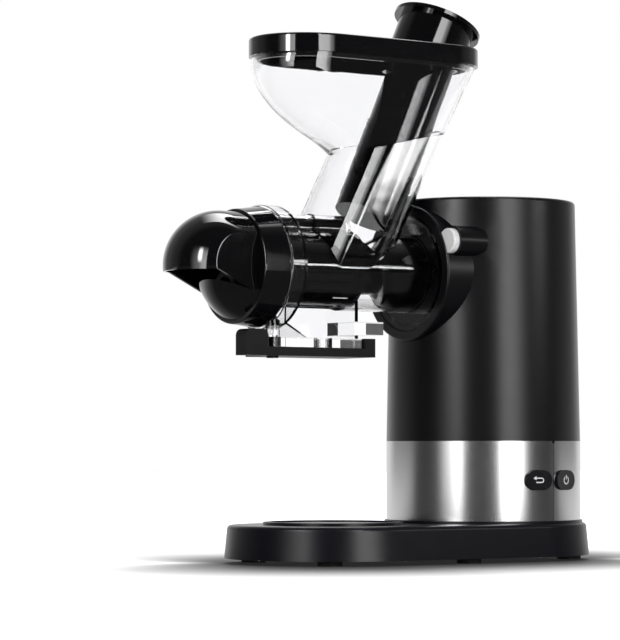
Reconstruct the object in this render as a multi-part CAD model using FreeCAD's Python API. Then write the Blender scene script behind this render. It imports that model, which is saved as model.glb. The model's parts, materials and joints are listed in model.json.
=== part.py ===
import FreeCAD, Part
import math
import os
from FreeCAD import Matrix, Vector

# A horizontal cold press juicer, in millimetres, Z up, standing on its feet at z = 0.
# It is drawn around the column's axis: the auger tube runs along -X, the camera side is -Y.
# At the end every piece is moved so that the origin is under the middle of the whole.

# Feet and base
foot_height = 3.5
foot_radius = 8.5
foot_plug_radius = 2.5
foot_plug_proud = 1.5
base_height = 23.0
base_radius = 75.6
base_draft = 2.0
base_reach = 134.0
base_wall = 2.6
base_edge = 3.0
foot_stations = [(48.0, 37.6), (-60.0, 17.6), (-170.0, 30.6)]
cover_sheet = 2.5
cover_play = 0.5
vent_width = 3.0
vent_pitch = 8.0
vent_half_length = 22.0
vent_left = -14.0
vent_right = 30.0
plinth_height = 2.0
plinth_radius = 71.0
column_hole_radius = 56.0
cup_ring_radius = 48.8
cup_ring_height = 2.1
cup_ring_width = 4.5
cup_dish_depth = 1.2

# Column
band_height = 56.0
band_radius = 69.5
band_sheet = 1.0
band_seam_angle = 276.0
band_seam_width = 0.4
skirt_play = 0.1
skirt_wall = 2.9
column_height = 171.5
column_top_radius = 66.2
column_wall = 2.8
column_edge = 2.5

# Socket that holds the juicing head
auger_z = 203.0
socket_rim_radius = 48.0
socket_bore_radius = 41.0
socket_front = 70.0
socket_depth = 20.0
socket_edge = 1.5
socket_back = 3.5
head_play = 0.5

# Buttons
button_length = 22.0
button_height = 13.5
button_z = 57.0
button_proud = 1.4
button_play = 0.3
button_ledge = 1.4
button_stem_length = 1.2
button_stem_radius = 2.2
reverse_angle = 264.4
power_angle = 286.3
release_radius = 8.8
release_play = 0.25
release_wall = 1.6
release_y = -45.0
release_z = 224.0
release_travel = 4.0
release_spring_wire = 0.8
release_spring_turns = 5
release_spring_radius = 5.0
release_thickness = 11.0
release_edge = 1.2
barrel_length = 24.0
barrel_floor = 3.0
keeper_play = 0.3
keeper_sheet = 2.3

# Gear train, from the motor up to the auger
pressure_angle = 25.0
tooth_play = 0.2
motor_module = 1.0
middle_module = 1.25
output_module = 1.5
pinion_teeth = 12
first_teeth = 60
second_teeth = 48
output_teeth = 36
first_width = 6.0
second_width = 8.0
output_width = 10.0
gear_gap = 2.0
gear_pin_radius = 3.0
gear_bore_play = 0.15
case_wall = 3.0
case_play = 4.0
axial_play = 0.4

# Motor
motor_radius = 28.0
motor_length = 46.0
motor_shaft_radius = 2.5
can_wall = 2.0
can_floor = 2.5
magnet_sheet = 3.0
magnet_inset = 8.0
magnet_gap = 4.0
armature_gap = 4.0
armature_inset = 9.0
end_cap_length = 4.0
fan_radius = 20.0
fan_width = 4.0
fan_blades = 9

# Drive socket and auger
hex_width = 14.0
hex_play = 0.2
drive_radius = 12.0
drive_play = 0.3
bearing_wall = 3.0
engagement = 10.0
auger_rear_core = 15.0
auger_front_core = 19.0
auger_press_turns = 3.0
auger_feed_pitch = 60.0
auger_flight = 4.0
auger_shoulder = 12.0
auger_drum = 18.0
auger_play = 0.6
nose_pin_radius = 4.0
nose_pin_length = 12.0
nose_hub_wall = 2.4
nose_hub_gap = 4.0
nose_play = 0.3

# Juicing head
tube_radius = 28.0
tube_wall = 2.2
tube_length = 129.5
flange_sheet = 3.5
spigot_depth = 12.0
spigot_wall = 2.5
collar_radius = 42.8
collar_width = 12.5
collar_wall = 2.2
collar_edge = 0.8
ridge_radius = 10.0
ridge_wall = 2.2
key_play = 0.5
feed_gap = 1.5
strainer_wall = 1.3
strainer_play = 0.5
strainer_length = 74.0
strainer_front_band = 9.0
strainer_tail_band = 5.0
strainer_flange = 2.4
strainer_ribs = 6
strainer_rib_half_width = 1.2
strainer_slots = 24
strainer_slot_width = 1.2
slot_margin = 3.0
mesh_sheet = 0.4

# Feed chute and hopper
chute_tilt = 28.0
chute_gap = 1.43
chute_x_height = 320.0
chute_half_length = 40.2
chute_half_width = 28.0
chute_wall = 2.4
chute_top = 284.4
hopper_top = 350.0
chute_slant = 0.216
hopper_reach = 121.2
hopper_rim_half_width = 38.5
lid_height = 13.0
lid_overhang = 2.0
lid_sheet = 2.6
lid_skirt_depth = 3.0
lid_skirt_wall = 2.0
lid_skirt_lead = 1.0
lid_play = 0.4

# Pusher
pusher_tilt = 24.5
pusher_radius = 23.0
pusher_neck_radius = 27.0
pusher_rim_radius = 31.7
pusher_wall = 2.2
pusher_offset = 4.2
pusher_bottom = 241.0
pusher_rise = 30.0
pusher_rim_height = 2.6
pusher_floor = 3.0
neck_play = 0.6
guide_play = 0.5
guide_wall = 2.2

# Juice spout and its drip lever
spout_left = -191.0
spout_right = -126.0
spout_slope_left = -170.0
spout_half_width = 18.0
spout_wall = 2.0
spout_knee_z = 166.0
spout_tail_length = 22.0
spout_tail_rise = 3.0
spout_tail_height = 9.0
drain_inset = 5.0
drain_half_width = 9.0
slab_top = 155.0
slab_height = 6.6
slab_half_width = 22.0
outlet_radius = 7.5
outlet_x = -150.0
lever_pivot_x = -198.5
lever_pivot_y = -18.0
lever_pin_radius = 2.6
lever_pin_head = 1.5
lever_post_wall = 2.4
lever_play = 0.3
lever_bar_height = 6.0
lever_bar_half_width = 14.0
lever_bar_end = -117.0
lever_catch = 8.0
lever_catch_top = 155.0
lever_hub_radius = 8.0
lever_tab_left = -226.0
lever_tab_right = -207.5
lever_tab_depth = 12.0
lever_tab_top = 160.0
lever_tab_edge = 4.5
lever_hole_play = 0.2
seal_radius = 10.0
seal_seat = 1.5
seal_play = 0.05

# Front cap
cap_width = 20.0
cap_rear_radius = 41.6
cap_front_radius = 39.2
cap_wall = 3.0
cap_edge = 1.0
gasket_width = 2.5
gasket_sheet = 1.8
gasket_play = 0.2
hood_radius = 37.5
hood_centre = 12.0
hood_wall = 2.2
hood_edge = 1.2
hood_half_width = 30.5
hood_rim_z = 199.0
hood_rim_turn = 32.0
hood_rim_low_z = 186.0
hood_rim_flat = 5.0
nozzle_radius = 12.0
nozzle_bore_radius = 8.0
nozzle_length = 6.5
nozzle_drop = 15.0

# Small hardware
screw_radius = 1.5
screw_head_radius = 3.0
screw_head_height = 1.8
screw_length = 12.0
cover_screw_inset = 13.6
cover_screw_right = 60.0
cover_screw_middle = -120.0
gearbox_screw_ring = 37.0
board_left = -30.0
board_right = 54.0
board_half_depth = 26.0
board_post_inset = 8.0
capacitor_x = 8.0
capacitor_y = -12.0
capacitor_radius = 7.0
capacitor_height = 22.0
relay_left = -22.0
relay_length = 16.0
relay_depth = 14.0
relay_height = 11.0
gearbox_screw_reach = 9.0
screw_sink = 1.0
screw_play = 0.2
boss_radius = 4.5
board_sheet = 1.6
board_post_radius = 3.0

# Heights and stations worked out from the dimensions above
base_top = foot_height + base_height
band_bottom = base_top + plinth_height
band_top = band_bottom + band_height
column_top = band_top + column_height
cover_top = foot_height + cover_sheet
socket_face = -socket_front
socket_floor = socket_face + socket_depth
socket_wall_back = socket_floor + socket_back
skirt_radius = band_radius - band_sheet - skirt_play
skirt_inner = skirt_radius - skirt_wall
flange_front = socket_face + head_play
tube_front = flange_front - tube_length
tube_bore = tube_radius - tube_wall
collar_rear = tube_front + collar_width
cap_front = tube_front - cap_width
hood_x = cap_front - hood_centre
strainer_rear = tube_front + strainer_length
ridge_z = auger_z + tube_radius
ridge_end = strainer_rear - 1.0
strainer_radius = tube_bore - strainer_play
strainer_bore = strainer_radius - strainer_wall
auger_radius = strainer_bore - auger_play
slab_bottom = slab_top - slab_height
lever_top = slab_bottom - lever_play
lever_bottom = lever_top - lever_bar_height
tilt = math.tan(math.radians(chute_tilt))
chute_x = (chute_x_height - column_top) * tilt - column_top_radius - chute_gap - chute_half_length
hopper_rim_left = chute_x - hopper_reach
lean = math.tan(math.radians(pusher_tilt))
pusher_axis = Vector(math.sin(math.radians(pusher_tilt)), 0, math.cos(math.radians(pusher_tilt)))
pusher_x = chute_x + pusher_offset
pusher_top = hopper_top + pusher_rise

# Centre heights of the gears, straight down from the auger's axis
output_centres = output_module * (pinion_teeth + output_teeth) / 2
middle_centres = middle_module * (pinion_teeth + second_teeth) / 2
motor_centres = motor_module * (pinion_teeth + first_teeth) / 2
second_z = auger_z - output_centres
first_z = second_z - middle_centres
motor_z = first_z - motor_centres

# Stations of the gear case along X, from its front plate to the motor's face
case_front = socket_wall_back
case_inner_front = case_front + case_wall
output_gear_x = case_inner_front + 1.5
second_pinion_x = output_gear_x - 0.5
second_pinion_width = output_width + 1.0
second_gear_x = second_pinion_x + second_pinion_width + gear_gap
first_pinion_x = second_gear_x - 1.0
first_pinion_width = second_width + 2.0
first_gear_x = first_pinion_x + first_pinion_width + gear_gap
case_inner_back = first_gear_x + first_width + gear_gap + 1.0
case_back = case_inner_back + case_wall
case_split = second_gear_x + second_width / 2
case_radius = output_module * output_teeth / 2 + output_module + case_play + 2.0

screw_line = base_radius - cover_screw_inset
cover_screw_places = [(cover_screw_right, 0), (0, screw_line), (0, -screw_line),
                      (cover_screw_middle, screw_line),
                      (cover_screw_middle, -screw_line), (-base_reach - screw_line, 0)]
foot_places = [(x, side * (base_radius - inset)) for x, inset in foot_stations for side in (1, -1)]
board_post_places = [(x, y) for x in (board_left + board_post_inset, board_right - 2 * board_post_inset)
                     for y in (board_post_inset - board_half_depth, board_half_depth - board_post_inset)]
gearbox_screw_angles = [45, 135, 225, 315]

pieces = {}


def x_rod(radius, x0, x1, y=0.0, z=auger_z):
    return Part.makeCylinder(radius, x1 - x0, Vector(x0, y, z), Vector(1, 0, 0))


def x_ring(outer, inner, x0, x1, y=0.0, z=auger_z):
    return x_rod(outer, x0, x1, y, z).cut(x_rod(inner, x0 - 1, x1 + 1, y, z))


def x_cone(radius0, radius1, x0, x1, y=0.0, z=auger_z):
    return Part.makeCone(radius0, radius1, x1 - x0, Vector(x0, y, z), Vector(1, 0, 0))


def z_rod(radius, z0, z1, x=0.0, y=0.0):
    return Part.makeCylinder(radius, z1 - z0, Vector(x, y, z0))


def z_ring(outer, inner, z0, z1, x=0.0, y=0.0):
    return z_rod(outer, z0, z1, x, y).cut(z_rod(inner, z0 - 1, z1 + 1, x, y))


def block(x0, x1, y0, y1, z0, z1):
    return Part.makeBox(x1 - x0, y1 - y0, z1 - z0, Vector(x0, y0, z0))


def fuse(shapes):
    whole = shapes[0]
    for shape in shapes[1:]:
        whole = whole.fuse(shape)
    return whole.removeSplitter()


def cut(shape, tools):
    for tool in tools:
        shape = shape.cut(tool)
    return shape


def stadium_wire(left, right, half_width, z):
    """A level outline with round ends that reaches from x = left to x = right."""
    x0 = left + half_width
    x1 = right - half_width
    near = Part.LineSegment(Vector(x0, -half_width, z), Vector(x1, -half_width, z))
    far = Part.LineSegment(Vector(x1, half_width, z), Vector(x0, half_width, z))
    end = Part.Arc(Vector(x1, -half_width, z), Vector(right, 0, z), Vector(x1, half_width, z))
    start = Part.Arc(Vector(x0, half_width, z), Vector(left, 0, z), Vector(x0, -half_width, z))
    return Part.Wire([near.toShape(), end.toShape(), far.toShape(), start.toShape()])


def stadium(left, right, half_width, z0, z1, draft=0.0):
    """A closed block with a stadium outline, narrower by the draft at its top."""
    low = stadium_wire(left, right, half_width, z0)
    high = stadium_wire(left + draft, right - draft, half_width - draft, z1)
    return Part.makeLoft([low, high], True, True)


def prism_y(points, y0, y1):
    """A side profile of (x, z) points, carried across from y0 to y1."""
    corners = [Vector(x, y0, z) for x, z in points]
    face = Part.Face(Part.makePolygon(corners + corners[:1]))
    return face.extrude(Vector(0, y1 - y0, 0))


def around_column(shape, angle):
    """Turns a piece drawn facing +X at the column to the given compass angle."""
    turned = shape.copy()
    turned.rotate(Vector(0, 0, 0), Vector(0, 0, 1), angle)
    return turned


def button_outline(grow, radius0, radius1):
    """A level stadium block that points outward along +X between two radii."""
    half = button_height / 2 + grow
    span = button_length / 2 + grow - half
    ends = [Part.makeCylinder(half, radius1 - radius0, Vector(radius0, y, button_z), Vector(1, 0, 0))
            for y in (-span, span)]
    middle = block(radius0, radius1, -span, span, button_z - half, button_z + half)
    return fuse([middle] + ends)


def screw(x, y, z, axis, length=screw_length):
    """A pan head screw whose head lies behind (x, y, z), with its shank along the axis."""
    place = Vector(x, y, z)
    head = Part.makeCylinder(screw_head_radius, screw_head_height, place - axis * screw_head_height, axis)
    shank = Part.makeCylinder(screw_radius, length, place, axis)
    return head.fuse(shank)


def coil_spring(radius, wire, turns, x0, x1, y, z):
    """A compression spring along X between two faces."""
    height = x1 - x0 - wire
    helix = Part.makeHelix(height / turns, height, radius)
    ring = Part.Wire(Part.makeCircle(wire / 2, Vector(radius, 0, 0), Vector(0, 1, 0)))
    pipe = Part.BRepOffsetAPI.MakePipeShell(helix)
    pipe.setFrenetMode(True)
    pipe.add(ring)
    pipe.build()
    pipe.makeSolid()
    spring = pipe.shape()
    spring.rotate(Vector(0, 0, 0), Vector(0, 1, 0), 90)
    spring.translate(Vector(x0 + wire / 2, y, z))
    return spring


def involute(angle):
    return math.tan(angle) - angle


def gear(module, teeth, width, x, z, phase):
    """A spur gear about X with involute flanks, its first tooth centred at the phase angle."""
    pressure = math.radians(pressure_angle)
    pitch = module * teeth / 2
    base = pitch * math.cos(pressure)
    root = pitch - 1.25 * module
    tip = pitch + module
    start = max(base, root)
    half_pitch_angle = math.pi / (2 * teeth) - tooth_play / (4 * pitch)
    flank = []
    for step in range(5):
        radius = start + (tip - start) * step / 4
        turn = math.acos(min(1.0, base / radius))
        flank.append((radius, half_pitch_angle + involute(pressure) - involute(turn)))
    points = []
    for tooth in range(teeth):
        centre = math.radians(phase) + 2 * math.pi * tooth / teeth
        outline = [(root, -flank[0][1])] if root < start else []
        outline += [(radius, -half) for radius, half in flank]
        outline += [(radius, half) for radius, half in reversed(flank)]
        outline += [(root, flank[0][1])] if root < start else []
        for radius, angle in outline:
            points.append(Vector(x, radius * math.cos(centre + angle), z + radius * math.sin(centre + angle)))
    face = Part.Face(Part.makePolygon(points + points[:1]))
    return face.extrude(Vector(width, 0, 0))


def mesh_phase(phase, teeth, other_teeth, direction):
    """The phase, in degrees, of a gear whose teeth fall in the gaps of the gear before it."""
    return direction + 180 - ((phase - direction) * teeth + 180) / other_teeth


def base_pieces():
    left = -base_reach - base_radius
    body = stadium(left, base_radius, base_radius, foot_height, base_top, base_draft)
    top_edges = [edge for edge in body.Edges if edge.BoundBox.ZMin > base_top - 0.01]
    body = body.makeFillet(base_edge, top_edges)
    plinth = z_rod(plinth_radius, base_top - base_wall, band_bottom)
    cup_ring = z_rod(cup_ring_radius, base_top - base_wall, base_top + cup_ring_height, -base_reach)
    inner = stadium(left + base_wall, base_radius - base_wall, base_radius - base_wall,
                    foot_height - 1, base_top - base_wall, base_draft)
    dish_z = base_top + cup_ring_height - cup_dish_depth
    dish = z_rod(cup_ring_radius - cup_ring_width, dish_z, base_top + 10, -base_reach)
    hole = z_rod(column_hole_radius, foot_height, band_bottom + 1)
    shell = cut(fuse([body, plinth, cup_ring]), [inner, dish, hole])
    bosses = [z_rod(boss_radius, cover_top, base_top - base_wall + 0.5, x, y) for x, y in cover_screw_places]
    shell = fuse([shell] + bosses)
    holes = [z_rod(screw_radius, cover_top - 1, cover_top + screw_length, x, y)
             for x, y in cover_screw_places]
    gland_start = gland_seat_y + gland_lip
    inlet = Part.makeCylinder(inlet_radius, 20, Vector(0, gland_start - 10, inlet_z), Vector(0, 1, 0))
    inlet_seat = Part.makeCylinder(inlet_radius + gland_lip, 10, Vector(0, gland_start - 10, inlet_z),
                                   Vector(0, 1, 0))
    pieces["base_shell"] = cut(shell, holes + [inlet, inlet_seat])

    head_z = foot_height + screw_sink
    cover_left = left + base_wall + cover_play
    cover_right = base_radius - base_wall - cover_play
    cover = stadium(cover_left, cover_right, base_radius - base_wall - cover_play, foot_height, cover_top)
    vents = [vent_left + vent_pitch * number
             for number in range(int((vent_right - vent_left) / vent_pitch) + 1)]
    slots = [block(x - vent_width / 2, x + vent_width / 2, -vent_half_length, vent_half_length,
                   foot_height - 1, cover_top + 1) for x in vents]
    sinks = [z_rod(screw_head_radius + screw_play, foot_height - 1, head_z, x, y)
             for x, y in cover_screw_places]
    clear = [z_rod(screw_radius + screw_play, foot_height - 1, cover_top + 1, x, y)
             for x, y in cover_screw_places]
    plugs = [z_rod(foot_plug_radius, foot_height - 1, cover_top + 1, x, y) for x, y in foot_places]
    posts = [z_rod(board_post_radius, cover_top, board_z, x, y) for x, y in board_post_places]
    pieces["bottom_cover"] = fuse([cut(cover, slots + sinks + clear + plugs)] + posts)

    feet = [fuse([z_rod(foot_radius, 0, foot_height, x, y),
                  z_rod(foot_plug_radius, foot_height, cover_top + foot_plug_proud, x, y)])
            for x, y in foot_places]
    pieces["rubber_feet"] = Part.makeCompound(feet)
    screws = [screw(x, y, head_z, Vector(0, 0, 1)) for x, y in cover_screw_places]
    pieces["cover_screws"] = Part.makeCompound(screws)

    gland = Part.makeCylinder(inlet_radius, gland_length, Vector(0, gland_seat_y, inlet_z), Vector(0, 1, 0))
    bore = Part.makeCylinder(gland_bore, gland_length + 2, Vector(0, gland_seat_y - 1, inlet_z),
                             Vector(0, 1, 0))
    lip = Part.makeCylinder(inlet_radius + gland_lip, gland_lip, Vector(0, gland_seat_y, inlet_z),
                            Vector(0, 1, 0))
    pieces["cable_gland"] = gland.fuse(lip).cut(bore)


def column_pieces():
    cone = Part.makeCone(band_radius, column_top_radius, column_height, Vector(0, 0, band_top))
    top_edges = [edge for edge in cone.Edges if edge.BoundBox.ZMin > column_top - 0.01]
    cone = cone.makeFillet(column_edge, top_edges)
    skirt = z_rod(skirt_radius, band_bottom, band_top)
    rim = x_rod(socket_rim_radius, socket_face, 0)
    rim = rim.makeFillet(socket_edge, [edge for edge in rim.Edges if edge.BoundBox.XMax < socket_face + 0.01])
    barrel = x_rod(barrel_radius, barrel_front, barrel_back, release_y, release_z)
    solid = fuse([cone, skirt, rim, barrel])
    hollow = Part.makeCone(band_radius - column_wall, column_top_radius - column_wall,
                           column_height - column_wall,
                           Vector(0, 0, band_top))
    hollow = hollow.fuse(z_rod(skirt_inner, band_bottom - 1, band_top))
    hollow = hollow.cut(x_rod(socket_rim_radius, socket_face - 5, socket_wall_back))
    hollow = hollow.cut(x_rod(barrel_radius, barrel_front, barrel_back, release_y, release_z))
    hollow = hollow.fuse(x_rod(socket_rim_radius - column_wall, socket_wall_back, 0).cut(
        x_rod(barrel_radius, barrel_front, barrel_back, release_y, release_z)))
    bore = x_rod(socket_bore_radius, socket_face - 1, socket_floor)
    shaft_hole = x_rod(seal_outer, socket_floor - 1, socket_wall_back + 1)
    screw_holes = [x_rod(screw_radius + 0.2, socket_floor - 1, socket_wall_back + 1, y, z)
                   for y, z in gearbox_screw_places()]
    release_bore = x_rod(release_radius + release_play, barrel_front - 5, barrel_back - barrel_floor,
                         release_y, release_z)
    stem_hole = x_rod(release_stem + release_play, barrel_back - barrel_floor - 1, barrel_back + 1,
                      release_y, release_z)
    shell = cut(solid, [hollow, bore, shaft_hole, release_bore, stem_hole] + screw_holes)
    for angle in (reverse_angle, power_angle):
        shell = shell.cut(around_column(button_outline(button_play, skirt_inner - 6, band_radius + 5), angle))
    posts = [block(board_face, math.sqrt(skirt_inner ** 2 - y ** 2) + 1, y - board_post_radius,
                   y + board_post_radius,
                   z - board_post_radius, z + board_post_radius)
             for y in (-board_post_y, board_post_y)
             for z in (button_z - board_post_rise, button_z + board_post_rise)]
    middle = (reverse_angle + power_angle) / 2
    shell = fuse([shell] + [around_column(post, middle) for post in posts])
    pieces["column_shell"] = shell

    band = z_ring(band_radius, band_radius - band_sheet, band_bottom, band_top)
    seam = block(band_radius - 5, band_radius + 5, -band_seam_width / 2, band_seam_width / 2,
                 band_bottom - 1, band_top + 1)
    notch = block(band_radius - 5, band_radius + 5, -1.2, 1.2, band_top - 1.6, band_top + 1)
    band = cut(band, [around_column(seam, band_seam_angle), around_column(notch, band_seam_angle)])
    for angle in (reverse_angle, power_angle):
        band = band.cut(around_column(button_outline(button_play, band_radius - 5, band_radius + 5), angle))
    pieces["steel_band"] = band

    for name, angle in (("reverse_button", reverse_angle), ("on_off_button", power_angle)):
        face = button_outline(0, button_back, band_radius + button_proud)
        ledge = button_height / 2 + button_ledge
        span = (button_length - button_height) / 2
        flange = block(button_back, button_back + button_ledge, -span, span, button_z - ledge,
                       button_z + ledge)
        stem = Part.makeCylinder(button_stem_radius, button_stem_length,
                                 Vector(button_back - button_stem_length, 0, button_z), Vector(1, 0, 0))
        pieces[name] = around_column(fuse([face, flange, stem]), angle)

    board_half_width = board_post_y + board_margin
    board_half_height = board_post_rise + board_margin
    board = block(board_face - board_sheet, board_face, -board_half_width, board_half_width,
                  button_z - board_half_height, button_z + board_half_height)
    pieces["switch_board"] = around_column(board, middle)
    switches = []
    for angle in (reverse_angle, power_angle):
        offset = board_face * math.tan(math.radians(angle - middle))
        case = block(board_face, board_face + switch_height, offset - switch_half_width,
                     offset + switch_half_width,
                     button_z - switch_half_width, button_z + switch_half_width)
        switches.append(around_column(case, middle))
    pieces["push_switches"] = Part.makeCompound(switches)

    disc_back = release_face + release_thickness
    disc = x_rod(release_radius, release_face, disc_back, release_y, release_z)
    disc = disc.makeFillet(release_edge, [edge
                                          for edge in disc.Edges if edge.BoundBox.XMax < release_face + 0.01])
    stem = x_rod(release_stem, disc_back - 1, barrel_back + keeper_play + keeper_sheet + 1, release_y,
                 release_z)
    keeper_x = barrel_back + keeper_play
    keeper = x_rod(release_stem + release_wall, keeper_x, keeper_x + keeper_sheet, release_y, release_z)
    pieces["release_button"] = fuse([disc, stem, keeper])
    pieces["release_spring"] = coil_spring(release_spring_radius, release_spring_wire, release_spring_turns,
                                           disc_back, barrel_back - barrel_floor, release_y, release_z)


def gearbox_screw_places():
    places = []
    for angle in gearbox_screw_angles:
        turn = math.radians(angle)
        places.append((gearbox_screw_ring * math.cos(turn), auger_z + gearbox_screw_ring * math.sin(turn)))
    return places


def case_outline(x0, x1, grow):
    """The gear case's block: a tall stadium over the big gears and a narrow foot at the motor."""
    big = case_radius + grow
    foot = motor_module * pinion_teeth / 2 + motor_module + case_play + grow
    parts = [x_rod(big, x0, x1), x_rod(big, x0, x1, 0, first_z), block(x0, x1, -big, big, first_z, auger_z),
             x_rod(foot, x0, x1, 0, motor_z), block(x0, x1, -foot, foot, motor_z, first_z)]
    return fuse(parts)


def gearbox_pieces():
    outer = case_outline(case_front, case_back, case_wall)
    inner = case_outline(case_inner_front, case_inner_back, 0)
    bosses = [x_rod(boss_radius, case_front, case_front + 12, y, z) for y, z in gearbox_screw_places()]
    case = fuse([outer.cut(inner)] + bosses)
    holes = [x_rod(screw_radius, case_front - 1, case_front + 10, y, z) for y, z in gearbox_screw_places()]
    bearing_hole = x_rod(drive_radius + drive_play + bearing_wall, case_front - 1, case_inner_front + 1)
    pin_bosses = [x_rod(boss_radius + 0.5, case_inner_front - 1, x - axial_play, 0, z)
                  for x, z in ((second_pinion_x, second_z), (first_pinion_x, first_z))]
    back_bosses = [x_rod(boss_radius + 0.5, x + axial_play, case_inner_back + 1, 0, z)
                   for x, z in ((second_gear_x + second_width, second_z),
                                (first_gear_x + first_width, first_z))]
    journal = x_rod(8, case_inner_back - 6, case_inner_back + 1)
    case = fuse([case] + pin_bosses + back_bosses + [journal])
    pin_holes = [x_rod(gear_pin_radius, case_front + 1, case_back - 1, 0, z) for z in (second_z, first_z)]
    journal_hole = x_rod(output_shaft_radius + gear_bore_play, case_inner_back - 7, case_back - 1)
    motor_hole = x_rod(motor_shaft_radius + 1.5, case_inner_back - 1, case_back + 1, 0, motor_z)
    plate = x_rod(motor_radius - 2, case_back - case_wall, case_back, 0, motor_z)
    case = fuse([case, plate])
    motor_screw_holes = [x_rod(screw_radius + 0.2, case_inner_back - 1, case_back + 1, y, motor_z)
                         for y in (-motor_screw_y, motor_screw_y)]
    case = cut(case, holes + [bearing_hole, journal_hole, motor_hole] + pin_holes + motor_screw_holes)
    front = block(case_front - 1, case_split, -column_height, column_height, 0, column_top + column_height)
    pieces["gearbox_front"] = case.common(front)
    pieces["gearbox_rear"] = case.cut(front)
    screws = [screw(socket_floor, y, z, Vector(1, 0, 0), socket_back + gearbox_screw_reach)
              for y, z in gearbox_screw_places()]
    pieces["gearbox_screws"] = Part.makeCompound(screws)
    pins = [x_rod(gear_pin_radius, case_front + 1, case_back - 1, 0, z) for z in (second_z, first_z)]
    pieces["gear_pins"] = Part.makeCompound(pins)
    ring = x_ring(drive_radius + drive_play + bearing_wall, drive_radius + drive_play,
                  case_front, case_inner_front)
    pieces["output_bearing"] = ring
    pieces["shaft_seal"] = x_ring(seal_outer, drive_radius + drive_play, socket_floor, socket_wall_back)


def gear_pieces():
    down = -90.0
    output_phase = 90.0
    second_pinion_phase = mesh_phase(output_phase, output_teeth, pinion_teeth, down)
    first_pinion_phase = mesh_phase(0.0, second_teeth, pinion_teeth, down)
    motor_pinion_phase = mesh_phase(0.0, first_teeth, pinion_teeth, down)
    bore = gear_pin_radius + gear_bore_play

    wheel = gear(output_module, output_teeth, output_width, output_gear_x, auger_z, output_phase)
    shaft = x_rod(output_shaft_radius, output_gear_x, case_back - 1.5)
    pieces["output_gear"] = fuse([wheel, shaft])
    hub = x_rod(drive_radius, drive_front, output_gear_x)
    hexagon = hex_prism(hex_width, drive_front - 1, output_gear_x - 3)
    pieces["drive_socket"] = hub.cut(hexagon)

    pinion = gear(output_module, pinion_teeth, second_pinion_width, second_pinion_x, second_z,
                  second_pinion_phase)
    wheel = gear(middle_module, second_teeth, second_width, second_gear_x, second_z, 0.0)
    neck = x_rod(bore + 2.5, second_pinion_x + second_pinion_width, second_gear_x, 0, second_z)
    hole = x_rod(bore, second_pinion_x - 1, second_gear_x + second_width + 1, 0, second_z)
    pieces["second_gear"] = fuse([pinion, neck, wheel]).cut(hole)

    pinion = gear(middle_module, pinion_teeth, first_pinion_width, first_pinion_x, first_z,
                  first_pinion_phase)
    wheel = gear(motor_module, first_teeth, first_width, first_gear_x, first_z, 0.0)
    neck = x_rod(bore + 2.0, first_pinion_x + first_pinion_width, first_gear_x, 0, first_z)
    hole = x_rod(bore, first_pinion_x - 1, first_gear_x + first_width + 1, 0, first_z)
    pieces["first_gear"] = fuse([pinion, neck, wheel]).cut(hole)

    pinion = gear(motor_module, pinion_teeth, first_width + 2, first_gear_x - 1, motor_z, motor_pinion_phase)
    shaft_end = case_back + motor_length + end_cap_length + fan_width + 2
    shaft = x_rod(motor_shaft_radius, first_gear_x - 1, shaft_end, 0, motor_z)
    armature = x_rod(motor_radius - can_wall - armature_gap, case_back + armature_inset,
                     case_back + motor_length - armature_inset, 0, motor_z)
    pieces["motor_shaft"] = fuse([pinion, shaft, armature])
    fan_x = case_back + motor_length + end_cap_length + 1
    fan = x_rod(6, fan_x, fan_x + fan_width, 0, motor_z)
    blades = []
    for number in range(fan_blades):
        blade = block(fan_x, fan_x + fan_width, -0.8, 0.8, 4, fan_radius)
        blade.rotate(Vector(fan_x + fan_width / 2, 0, 0), Vector(0, 0, 1), 25)
        blade.rotate(Vector(0, 0, 0), Vector(1, 0, 0), number * 360 / fan_blades)
        blade.translate(Vector(0, 0, motor_z))
        blades.append(blade)
    fan = fuse([fan] + blades)
    pieces["cooling_fan"] = fan.cut(x_rod(motor_shaft_radius, fan_x - 5, fan_x + fan_width + 5, 0, motor_z))


def hex_prism(width, x0, x1):
    radius = width / math.sqrt(3)
    points = [Vector(x0, radius * math.cos(math.radians(a)), auger_z + radius * math.sin(math.radians(a)))
              for a in range(0, 361, 60)]
    return Part.Face(Part.makePolygon(points)).extrude(Vector(x1 - x0, 0, 0))


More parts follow.
